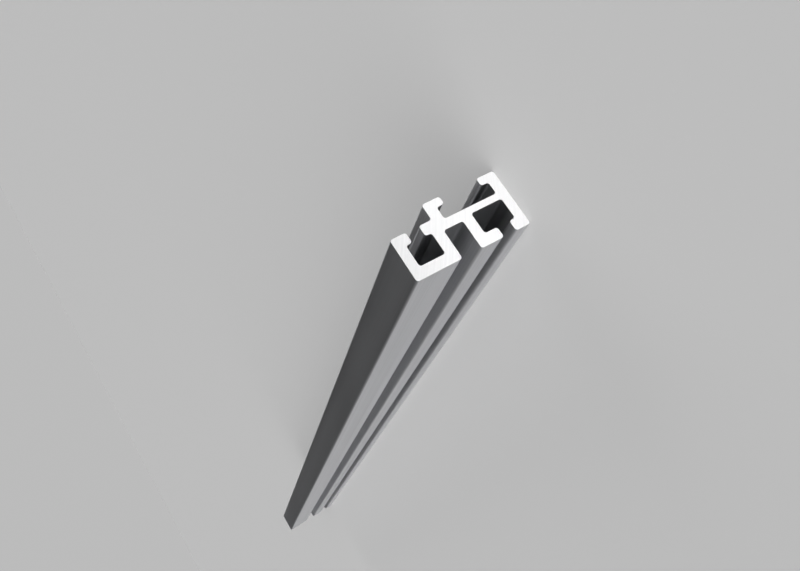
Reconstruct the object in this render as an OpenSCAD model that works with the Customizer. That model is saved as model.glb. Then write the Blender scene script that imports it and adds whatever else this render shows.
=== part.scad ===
// Slotted aluminium extrusion profile: one straight length of raw bar stock with a constant section.
// The bar lies along Y and stands on its flat base. The section is drawn as its front end shows it,
// with the face side (tee slot, gap and closed back of the channel) on the left, at -X, and the wide
// slot and the channel's mouth on the right, at +X.

/* [Bar] */
// Length of the bar, cut square at both ends
bar_length = 600; // [50:10:3000]
// Radius of every edge and inside corner of the section
edge_radius = 1; // [0.2:0.1:1.2]

/* [Walls] */
// Thickness of the base beside the tee slot
base_wall = 3.6; // [2.4:0.1:6]
// Thickness of the base beside the wide slot
base_back_wall = 4; // [2.4:0.1:6]
// Thickness of the rib between the tee slot and the gap
rib_wall = 4; // [2.4:0.1:8]
// Thickness of the channel's lower wall
channel_lower_wall = 4; // [2.4:0.1:8]
// Thickness of the channel's upper wall, at the top of the bar
channel_upper_wall = 3.6; // [2.4:0.1:8]
// Thickness of the face side: the tee slot's lips and the channel's closed back
face_wall = 4; // [2.4:0.1:8]
// Thickness of the spine between the tee slot and the wide slot
spine_wall = 2.4; // [1.6:0.1:3.4]
// Thickness of the spine behind the gap
gap_back_wall = 3.4; // [1.6:0.1:8]

/* [Tee slot] */
// Width of the tee slot's mouth
tee_mouth = 5; // [3:0.1:12]
// Reach of the tee slot's lower lip over its room
tee_lower_lip = 2.4; // [1:0.1:8]
// Reach of the tee slot's upper lip over its room
tee_upper_lip = 5; // [1:0.1:10]
// Clear depth of the room behind the lips, the same in the tee slot and the channel
slot_depth = 8; // [4:0.1:16]

/* [Gap] */
// Clear width of the gap between the rib and the channel
gap_width = 7.6; // [3:0.1:20]

/* [Channel] */
// Clear width of the channel's room
channel_width = 9.8; // [7:0.1:20]
// Width of the channel's mouth, central on its room
channel_mouth = 5; // [3:0.1:8]
// Thickness of the lips on both sides of the channel's mouth
channel_lip_wall = 4; // [2.4:0.1:7]

/* [Wide slot] */
// Clear depth of the room behind the wide slot's lips
wide_depth = 4.6; // [3:0.1:12]
// Reach of both lips over the wide slot's room
wide_lip = 3; // [1:0.1:8]
// Thickness of both lips of the wide slot
wide_lip_wall = 3; // [2:0.1:6]
// Thickness of the hook that carries the wide slot's upper lip
hook_wall = 4; // [2.4:0.1:6]
// Height from the hook's lower side to the lower side of the channel
hook_drop = 2.6; // [1:0.1:5]

/* [Hidden] */

// Largest share of a short edge that the rounding at each of its ends may take
rounding_share = 0.45;
arc_sides = 96;

// Levels across the section, measured from the face side
face_inside = face_wall;
spine_face = face_inside + slot_depth;
spine_back = spine_face + spine_wall;
gap_end = spine_back - gap_back_wall;
channel_front = spine_face + channel_lip_wall;
wide_inside = spine_back + wide_depth;
section_depth = wide_inside + wide_lip_wall;

// Heights on the face side, from the base up
tee_mouth_low = base_wall + tee_lower_lip;
tee_mouth_high = tee_mouth_low + tee_mouth;
rib_low = tee_mouth_high + tee_upper_lip;
rib_high = rib_low + rib_wall;
channel_low = rib_high + gap_width;
room_low = channel_low + channel_lower_wall;
room_high = room_low + channel_width;
section_height = room_high + channel_upper_wall;

// Heights on the back side, from the base up
channel_mouth_low = (room_low + room_high - channel_mouth) / 2;
channel_mouth_high = channel_mouth_low + channel_mouth;
hook_low = channel_low - hook_drop;
hook_high = hook_low + hook_wall;
wide_mouth_low = base_back_wall + wide_lip;
wide_mouth_high = hook_low - wide_lip;

// Sharp corners of the section, feature by feature, with the metal always on the left hand
gap_corners = [
    [0, section_height],
    [0, channel_low],
    [gap_end, channel_low],
    [gap_end, rib_high],
    [0, rib_high]
];
tee_slot_corners = [
    [0, tee_mouth_high],
    [face_inside, tee_mouth_high],
    [face_inside, rib_low],
    [spine_face, rib_low],
    [spine_face, base_wall],
    [face_inside, base_wall],
    [face_inside, tee_mouth_low],
    [0, tee_mouth_low]
];
base_corners = [
    [0, 0],
    [section_depth, 0]
];
wide_slot_corners = [
    [section_depth, wide_mouth_low],
    [wide_inside, wide_mouth_low],
    [wide_inside, base_back_wall],
    [spine_back, base_back_wall],
    [spine_back, hook_low],
    [wide_inside, hook_low],
    [wide_inside, wide_mouth_high],
    [section_depth, wide_mouth_high]
];
hook_corners = [
    [section_depth, hook_high],
    [channel_front, hook_high]
];
channel_corners = [
    [channel_front, channel_mouth_low],
    [spine_face, channel_mouth_low],
    [spine_face, room_low],
    [face_inside, room_low],
    [face_inside, room_high],
    [spine_face, room_high],
    [spine_face, channel_mouth_high],
    [channel_front, channel_mouth_high],
    [channel_front, section_height]
];
corners = concat(
    gap_corners,
    tee_slot_corners,
    base_corners,
    wide_slot_corners,
    hook_corners,
    channel_corners
);
corner_count = len(corners);

// The edge that leaves a corner, and the one that arrives at it
function edge_after(i) = corners[(i + 1) % corner_count] - corners[i];
function edge_before(i) = edge_after((i + corner_count - 1) % corner_count);

function unit(v) = v / norm(v);
function is_inside_corner(i) = cross(edge_before(i), edge_after(i)) < 0;

// A wall too short for two full roundings limits them to its own length
function corner_radius(i) =
    min(edge_radius, rounding_share * min(norm(edge_before(i)), norm(edge_after(i))));

// Centre of the arc that touches both edges of a corner
function arc_centre(i) =
    corners[i] + corner_radius(i) * (unit(edge_after(i)) - unit(edge_before(i)));

// The piece between a sharp corner and its arc: metal to add inside, or to take away outside
module corner_piece(i) {
    difference() {
        translate((corners[i] + arc_centre(i)) / 2)
            square(corner_radius(i), center = true);
        translate(arc_centre(i))
            circle(r = corner_radius(i), $fn = arc_sides);
    }
}

module section() {
    difference() {
        union() {
            polygon(corners);
            for (i = [0 : corner_count - 1])
                if (is_inside_corner(i)) corner_piece(i);
        }
        for (i = [0 : corner_count - 1])
            if (!is_inside_corner(i)) corner_piece(i);
    }
}

// The whole bar: one pressed length of the section, with its base on the floor
module profile_bar() {
    color("silver")
        translate([-section_depth / 2, 0, 0])
            rotate([90, 0, 0])
                linear_extrude(height = bar_length, center = true)
                    section();
}

profile_bar();
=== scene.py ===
import bmesh
import bpy
from mathutils import Matrix, Vector


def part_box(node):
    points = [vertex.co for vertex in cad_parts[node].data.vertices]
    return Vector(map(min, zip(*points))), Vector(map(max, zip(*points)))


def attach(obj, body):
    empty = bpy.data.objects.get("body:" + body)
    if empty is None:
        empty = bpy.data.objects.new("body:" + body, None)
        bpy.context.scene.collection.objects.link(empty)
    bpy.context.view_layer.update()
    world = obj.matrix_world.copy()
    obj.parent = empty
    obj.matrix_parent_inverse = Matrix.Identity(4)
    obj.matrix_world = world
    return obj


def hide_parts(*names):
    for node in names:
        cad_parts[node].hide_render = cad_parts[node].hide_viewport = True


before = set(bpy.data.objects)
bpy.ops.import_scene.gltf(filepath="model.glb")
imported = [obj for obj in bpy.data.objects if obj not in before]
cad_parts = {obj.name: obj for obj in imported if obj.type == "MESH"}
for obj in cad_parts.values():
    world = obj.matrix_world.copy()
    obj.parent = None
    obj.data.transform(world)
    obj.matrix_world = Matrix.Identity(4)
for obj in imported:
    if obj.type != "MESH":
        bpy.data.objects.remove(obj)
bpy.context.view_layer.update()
scene = bpy.context.scene

# The bar: one length of aluminium alloy, pressed hot through a steel die, stretched straight and sawn
# to length. Its long faces keep the dull skin and the fine drawn lines of the die, and its two ends
# show the bright cut of the saw, with the burr just taken off their edges.
bar_low, bar_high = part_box("profile_bar")
bar_length = bar_high.y - bar_low.y
edge_radius = 0.001
edge_segments = 8
burr_break = 0.00012
burr_segments = 2

base_wall = 0.0036
base_back_wall = 0.004
rib_wall = 0.004
channel_lower_wall = 0.004
channel_upper_wall = 0.0036
face_wall = 0.004
spine_wall = 0.0024
gap_back_wall = 0.0034
tee_mouth = 0.005
tee_lower_lip = 0.0024
tee_upper_lip = 0.005
slot_depth = 0.008
gap_width = 0.0076
channel_width = 0.0098
channel_mouth = 0.005
channel_lip_wall = 0.004
wide_depth = 0.0046
wide_lip = 0.003
wide_lip_wall = 0.003
hook_wall = 0.004
hook_drop = 0.0026

face = bar_low.x
face_inside = face + face_wall
spine_face = face_inside + slot_depth
spine_back = spine_face + spine_wall
gap_end = spine_back - gap_back_wall
channel_front = spine_face + channel_lip_wall
wide_inside = spine_back + wide_depth
back = wide_inside + wide_lip_wall

base = bar_low.z
tee_low = base + base_wall
tee_mouth_low = tee_low + tee_lower_lip
tee_mouth_high = tee_mouth_low + tee_mouth
rib_low = tee_mouth_high + tee_upper_lip
rib_high = rib_low + rib_wall
channel_low = rib_high + gap_width
room_low = channel_low + channel_lower_wall
room_high = room_low + channel_width
top = room_high + channel_upper_wall
channel_mouth_low = (room_low + room_high - channel_mouth) / 2
channel_mouth_high = channel_mouth_low + channel_mouth
hook_low = channel_low - hook_drop
hook_high = hook_low + hook_wall
wide_low = base + base_back_wall
wide_mouth_low = wide_low + wide_lip
wide_mouth_high = hook_low - wide_lip

gap_corners = [
    (face, top), (face, channel_low), (gap_end, channel_low), (gap_end, rib_high), (face, rib_high),
]
tee_slot_corners = [
    (face, tee_mouth_high), (face_inside, tee_mouth_high), (face_inside, rib_low), (spine_face, rib_low),
    (spine_face, tee_low), (face_inside, tee_low), (face_inside, tee_mouth_low), (face, tee_mouth_low),
]
base_corners = [(face, base), (back, base)]
wide_slot_corners = [
    (back, wide_mouth_low), (wide_inside, wide_mouth_low), (wide_inside, wide_low),
    (spine_back, wide_low), (spine_back, hook_low),
    (wide_inside, hook_low), (wide_inside, wide_mouth_high), (back, wide_mouth_high),
]
hook_corners = [(back, hook_high), (channel_front, hook_high)]
channel_corners = [
    (channel_front, channel_mouth_low), (spine_face, channel_mouth_low), (spine_face, room_low),
    (face_inside, room_low), (face_inside, room_high), (spine_face, room_high),
    (spine_face, channel_mouth_high), (channel_front, channel_mouth_high), (channel_front, top),
]
section = gap_corners + tee_slot_corners + base_corners + wide_slot_corners + hook_corners + channel_corners

bm = bmesh.new()
front_cut = bm.faces.new([bm.verts.new((across, bar_low.y, up)) for across, up in section])
pushed = bmesh.ops.extrude_face_region(bm, geom=[front_cut])["geom"]
pushed_corners = [corner for corner in pushed if isinstance(corner, bmesh.types.BMVert)]
bmesh.ops.translate(bm, vec=(0, bar_length, 0), verts=pushed_corners)
bmesh.ops.recalc_face_normals(bm, faces=bm.faces)


def along_the_bar(edge):
    return abs(edge.verts[0].co.y - edge.verts[1].co.y) > bar_length / 2


long_edges = [edge for edge in bm.edges if along_the_bar(edge)]
bmesh.ops.bevel(
    bm, geom=long_edges, offset=edge_radius, offset_type="OFFSET",
    affect="EDGES", segments=edge_segments, profile=0.5, material=-1, clamp_overlap=False,
)
end_edges = [edge for edge in bm.edges if not along_the_bar(edge)]
bmesh.ops.bevel(
    bm, geom=end_edges, offset=burr_break, offset_type="OFFSET",
    affect="EDGES", segments=burr_segments, profile=0.5, material=-1, clamp_overlap=False,
)
skin_index = 0
cut_index = 1
for polygon in bm.faces:
    polygon.smooth = True
    on_skin = any(along_the_bar(edge) for edge in polygon.edges)
    polygon.material_index = skin_index if on_skin else cut_index


def unroll(mesh, columns=4, column_width=0.2, column_fill=0.95, rear_cut_at=0.5, margin=0.01):
    """Maps the bar for its finish: the skin rolled flat and cut into columns, then the two sawn ends."""
    sheet = mesh.loops.layers.uv.new("OFBake")
    polygon = [polygon for polygon in mesh.faces if polygon.material_index == skin_index][0]
    edge = [edge for edge in polygon.edges if along_the_bar(edge)][0]
    rolled = 0
    strips = {}
    while polygon not in strips:
        onward = [other for other in polygon.edges if along_the_bar(other) and other != edge][0]
        width = (edge.verts[0].co.xz - onward.verts[0].co.xz).length
        strips[polygon] = (edge, rolled, rolled + width)
        rolled += width
        edge = onward
        polygon = [beside for beside in edge.link_faces if beside != polygon][0]
    column_run = rolled / columns
    widest = max(stop - start for _, start, stop in strips.values())
    for polygon, (edge, start, stop) in strips.items():
        column = int(start / column_run)
        for loop in polygon.loops:
            reach = (start if loop.vert in edge.verts else stop) - column * column_run
            along = (loop.vert.co.y - bar_low.y) / bar_length
            loop[sheet].uv = (
                (column + along * column_fill) * column_width + margin,
                margin + reach / (column_run + widest) * (1 - 2 * margin),
            )
    cut_left = columns * column_width + margin
    cut_scale = (1 - margin - cut_left) / (back - face)
    for polygon in mesh.faces:
        if polygon not in strips:
            at_front = polygon.calc_center_median().y < 0
            cut_bottom = margin if at_front else margin + rear_cut_at
            for loop in polygon.loops:
                loop[sheet].uv = (
                    cut_left + (loop.vert.co.x - face) * cut_scale,
                    cut_bottom + (loop.vert.co.z - base) * cut_scale,
                )


unroll(bm)
bar_mesh = bpy.data.meshes.new("extruded_bar")
bm.to_mesh(bar_mesh)
bm.free()
bar = bpy.data.objects.new("extruded_bar", bar_mesh)
scene.collection.objects.link(bar)
flat_faces = bar.modifiers.new("flat faces", "WEIGHTED_NORMAL")
flat_faces.weight = 100
flat_faces.keep_sharp = True


class Wire:
    """An output socket in a node tree. Sums, products and comparisons of wires add Math nodes to it."""

    def __init__(self, socket):
        self.socket = socket
        self.tree = socket.id_data

    def node(self, kind, settings, inputs, output=0):
        """A wire from any other node: its settings first, then its sockets' values or wires."""
        made = self.tree.nodes.new(kind)
        for name, value in settings.items():
            setattr(made, name, value)
        for name, value in inputs.items():
            if isinstance(value, Wire):
                self.tree.links.new(value.socket, made.inputs[name])
            else:
                made.inputs[name].default_value = value
        return Wire(made.outputs[output])

    def into(self, socket):
        self.tree.links.new(self.socket, socket)

    def math(self, operation, first, second):
        return self.node("ShaderNodeMath", {"operation": operation}, {0: first, 1: second})

    def __add__(self, other):
        return self.math("ADD", self, other)

    __radd__ = __add__

    def __sub__(self, other):
        return self.math("SUBTRACT", self, other)

    def __rsub__(self, other):
        return self.math("SUBTRACT", other, self)

    def __mul__(self, other):
        return self.math("MULTIPLY", self, other)

    __rmul__ = __mul__

    def __gt__(self, other):
        return self.math("GREATER_THAN", self, other)

    def __lt__(self, other):
        return self.math("LESS_THAN", self, other)

    def rise(self, start, stop):
        """0 at start, 1 at stop, and level beyond them."""
        return self.node("ShaderNodeMapRange", {}, {"Value": self, "From Min": start, "From Max": stop})


def new_finish(name):
    """An empty metal: the material, its shader and its Object coordinates."""
    finish = bpy.data.materials.new(name)
    finish.use_nodes = True
    shader = finish.node_tree.nodes["Principled BSDF"]
    shader.inputs["Metallic"].default_value = 1
    place = finish.node_tree.nodes.new("ShaderNodeTexCoord").outputs["Object"]
    return finish, shader.inputs, Wire(place)


def blend(factor, first, second):
    """A colour between two others."""
    return factor.node("ShaderNodeMix", {"data_type": "RGBA"}, {0: factor, 6: first, 7: second}, output=2)


def streaks(place, pitch, run, detail):
    """Noise drawn out along the bar: a streak about every pitch across it, each about a run long."""
    drawn_out = (1 / pitch, 1 / run, 1 / pitch)
    spread = place.node("ShaderNodeMapping", {}, {"Vector": place, "Scale": drawn_out})
    return spread.node("ShaderNodeTexNoise", {}, {"Vector": spread, "Scale": 1, "Detail": detail})


# Mill skin. The die leaves fine lines and broader bands along the bar. Painted shade darkens the slots
# towards their deep walls and into their corners, and painted shade makes the top face darker.
skin_light = (0.85, 0.855, 0.875, 1)
skin_dark = (0.75, 0.755, 0.775, 1)
# Painted shade: the dark tone laid deep in the slots.
slot_shade_tone = (0.25, 0.255, 0.265, 1)
# Painted shade: the darker tone laid on the top face.
top_shade_tone = (0.44, 0.445, 0.46, 1)
lines_share = 0.5
bands_share = 0.5
dark_until = 0.35
light_from = 0.65
# How much of the painted slot shade the gap gets.
gap_shade_share = 0.8
top_shade_share = 0.75
skin_rough = 0.36
band_rough = 0.10
haze_rough = 0.06
line_height = 0.000005
band_depth = 2
shade_edge = 0.0008
slack = 0.0001

mill_skin, skin_inputs, skin_place = new_finish("mill_skin")
fine_lines = streaks(skin_place, pitch=0.0005, run=0.2, detail=2)
die_bands = streaks(skin_place, pitch=0.003, run=0.6, detail=3)
haze = streaks(skin_place, pitch=0.012, run=0.08, detail=3)
across = skin_place.node("ShaderNodeSeparateXYZ", {}, {0: skin_place}, output="X")
up = skin_place.node("ShaderNodeSeparateXYZ", {}, {0: skin_place}, output="Z")


def painted_shade_in(mouth, full, end, low, high):
    """The painted shade in one slot: none up to its mouth or outside it, all of it from full to the end
    wall.
    """
    beside = (across > min(mouth, end) - slack) * (across < max(mouth, end) + slack)
    return across.rise(mouth, full) * beside * (up > low - slack) * (up < high + slack)


# Painted shade in each slot, deepest at its far wall and in the corners behind the lips of the wide slot.
gap_room_shade = painted_shade_in(face_inside, gap_end - edge_radius * 2, gap_end, rib_high, channel_low)
gap_shade = gap_room_shade * gap_shade_share
tee_shade = painted_shade_in(face_inside, face_inside + slot_depth / 2, spine_face, tee_low, rib_low)
behind_low_lip = up.rise(wide_mouth_low + wide_lip, wide_mouth_low)
behind_high_lip = up.rise(wide_mouth_high - wide_lip, wide_mouth_high)
wide_room_shade = painted_shade_in(wide_inside + shade_edge, wide_inside, spine_back, wide_low, hook_low)
wide_shade = wide_room_shade * (behind_low_lip + behind_high_lip)
channel_shade = painted_shade_in(spine_face + shade_edge, spine_face, face_inside, room_low, room_high)
slot_shade = gap_shade + tee_shade + wide_shade + channel_shade
# Painted shade on the top face, rising across its rounded edges to the flat.
top_shade = up.rise(top - edge_radius, top) * top_shade_share
drawn_tone = (fine_lines * lines_share + die_bands * bands_share).rise(dark_until, light_from)
clean_skin = blend(drawn_tone, skin_dark, skin_light)
blend(top_shade, blend(slot_shade, clean_skin, slot_shade_tone), top_shade_tone).into(skin_inputs["Base Color"])
(skin_rough + die_bands * band_rough + haze * haze_rough).into(skin_inputs["Roughness"])
line_depth = fine_lines + die_bands * band_depth
skin_relief = line_depth.node("ShaderNodeBump", {}, {"Distance": line_height, "Height": line_depth})
skin_relief.into(skin_inputs["Normal"])

# Sawn end. The blade leaves fine arcs about its own middle, which stood above the bar on its back side.
cut_light = (0.96, 0.96, 0.96, 1)
cut_dark = (0.88, 0.88, 0.885, 1)
cut_rough = 0.80
mark_rough = 0.10
mark_pitch = 0.0007
mark_detail = 2
mark_height = 0.000003
blade_middle = (0.11, 0, 0.19)
cut_plane = (1, 0, 1)

sawn_end, cut_inputs, cut_place = new_finish("sawn_end")
flat_place = cut_place.node(
    "ShaderNodeVectorMath", {"operation": "MULTIPLY"}, {0: cut_place, 1: cut_plane},
)
from_blade = flat_place.node(
    "ShaderNodeVectorMath", {"operation": "DISTANCE"}, {0: flat_place, 1: blade_middle}, output="Value",
)
saw_marks = from_blade.node(
    "ShaderNodeTexNoise", {"noise_dimensions": "1D"},
    {"W": from_blade, "Scale": 1 / mark_pitch, "Detail": mark_detail},
)
blend(saw_marks, cut_dark, cut_light).into(cut_inputs["Base Color"])
(cut_rough + saw_marks * mark_rough).into(cut_inputs["Roughness"])
cut_relief = saw_marks.node("ShaderNodeBump", {}, {"Distance": mark_height, "Height": saw_marks})
cut_relief.into(cut_inputs["Normal"])

bar_mesh.materials.append(mill_skin)
bar_mesh.materials.append(sawn_end)
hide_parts("profile_bar")
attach(bar, "root")

# The floor: a plain pale sheet that runs out of sight on every side. It is only the stage that the bar
# stands on, matt all over. The camera sees part of its tone evenly, so that shadows on it stay pale.
floor_reach = 60
floor_mirrored = 0.50
floor_seen = 0.405
floor_even = 0.20
floor_rough = 0.9

bm = bmesh.new()
bmesh.ops.create_grid(bm, x_segments=1, y_segments=1, size=floor_reach)
floor_mesh = bpy.data.meshes.new("floor")
bm.to_mesh(floor_mesh)
bm.free()
floor = bpy.data.objects.new("floor", floor_mesh)
scene.collection.objects.link(floor)
floor_paint = bpy.data.materials.new("floor_paint")
floor_paint.use_nodes = True
paint_inputs = floor_paint.node_tree.nodes["Principled BSDF"].inputs
to_camera = Wire(floor_paint.node_tree.nodes.new("ShaderNodeLightPath").outputs["Is Camera Ray"])
(floor_mirrored + to_camera * (floor_seen - floor_mirrored)).into(paint_inputs["Base Color"])
(to_camera * floor_even).into(paint_inputs["Emission Color"])
paint_inputs["Emission Strength"].default_value = 1
paint_inputs["Roughness"].default_value = floor_rough
paint_inputs["Specular IOR Level"].default_value = 0
floor_mesh.materials.append(floor_paint)

# The light: a soft key from the front, one soft light on each side for the slots, a faint one from the
# rear, and a strip light on the floor, lower than the bar's top, that shines on the front end alone. The
# room is dark beyond the far end. Straight to the camera it is as pale as the floor.
room_dark = 0.005
room_pale = 0.20
dark_side = (0, 0.94, 0.34)
dark_starts = -0.2
dark_full = 0.5
backdrop = 0.50
strip_width = 0.3
strip_height = 0.036
strip_away = 4
strip_spread = 0.03
strip_power = 0.034
scene.view_settings.view_transform = "Standard"


def put_up(lamp, comes_from):
    """Turns a lamp so that its light comes from that direction."""
    made = bpy.data.objects.new(lamp.name, lamp)
    made.rotation_mode = "QUATERNION"
    made.rotation_quaternion = Vector(comes_from).to_track_quat("Z", "Y")
    scene.collection.objects.link(made)
    return made


def soft_light(name, comes_from, strength, spread):
    """A wide distant light."""
    lamp = bpy.data.lights.new(name, "SUN")
    lamp.energy = strength
    lamp.angle = spread
    put_up(lamp, comes_from)


soft_light("key", comes_from=(-0.62, -0.66, 0.42), strength=2.65, spread=2.2)
soft_light("face side light", comes_from=(-0.92, -0.10, 0.38), strength=1.0, spread=1.2)
soft_light("back side light", comes_from=(0.95, 0.20, 0.18), strength=1.3, spread=0.9)
soft_light("rear light", comes_from=(0.50, 0.50, 0.70), strength=0.08, spread=0.7)
strip = bpy.data.lights.new("end light", "AREA")
strip.shape = "RECTANGLE"
strip.size = strip_width
strip.size_y = strip_height
strip.spread = strip_spread
strip.energy = strip_power
strip_stand = put_up(strip, comes_from=(0, -1, 0))
strip_stand.location = (0, bar_low.y - strip_away, strip_height / 2)
strip_stand.visible_camera = False
world = bpy.data.worlds.new("room")
scene.world = world
world.use_nodes = True
looking = Wire(world.node_tree.nodes.new("ShaderNodeTexCoord").outputs["Generated"])
towards_dark = looking.node(
    "ShaderNodeVectorMath", {"operation": "DOT_PRODUCT"}, {0: looking, 1: dark_side}, output="Value",
)
room_light = room_pale + towards_dark.rise(dark_starts, dark_full) * (room_dark - room_pale)
to_camera = looking.node("ShaderNodeLightPath", {}, {}, output="Is Camera Ray")
shown = to_camera * backdrop + (1 - to_camera) * room_light
shown.into(world.node_tree.nodes["Background"].inputs["Color"])

# The camera stands where the photograph was taken from: close to the front end, above the bar and on
# its face side, rolled so that the bar runs down the picture.
camera_data = bpy.data.cameras.new("camera")
camera_data.sensor_width = 36
camera_data.lens = 36
camera_data.clip_start = 0.01
camera_data.clip_end = 200
camera = bpy.data.objects.new("camera", camera_data)
scene.collection.objects.link(camera)
camera_place = Vector((-0.07048, -0.51751, 0.13823))
camera_right = Vector((-0.5293, -0.18600, -0.8278))
camera_up = Vector((0.81026, -0.40019, -0.42817))
camera_back = camera_right.cross(camera_up)
camera.matrix_world = Matrix.Translation(camera_place) @ Matrix(
    (camera_right, camera_up, camera_back)
).transposed().to_4x4()
scene.camera = camera
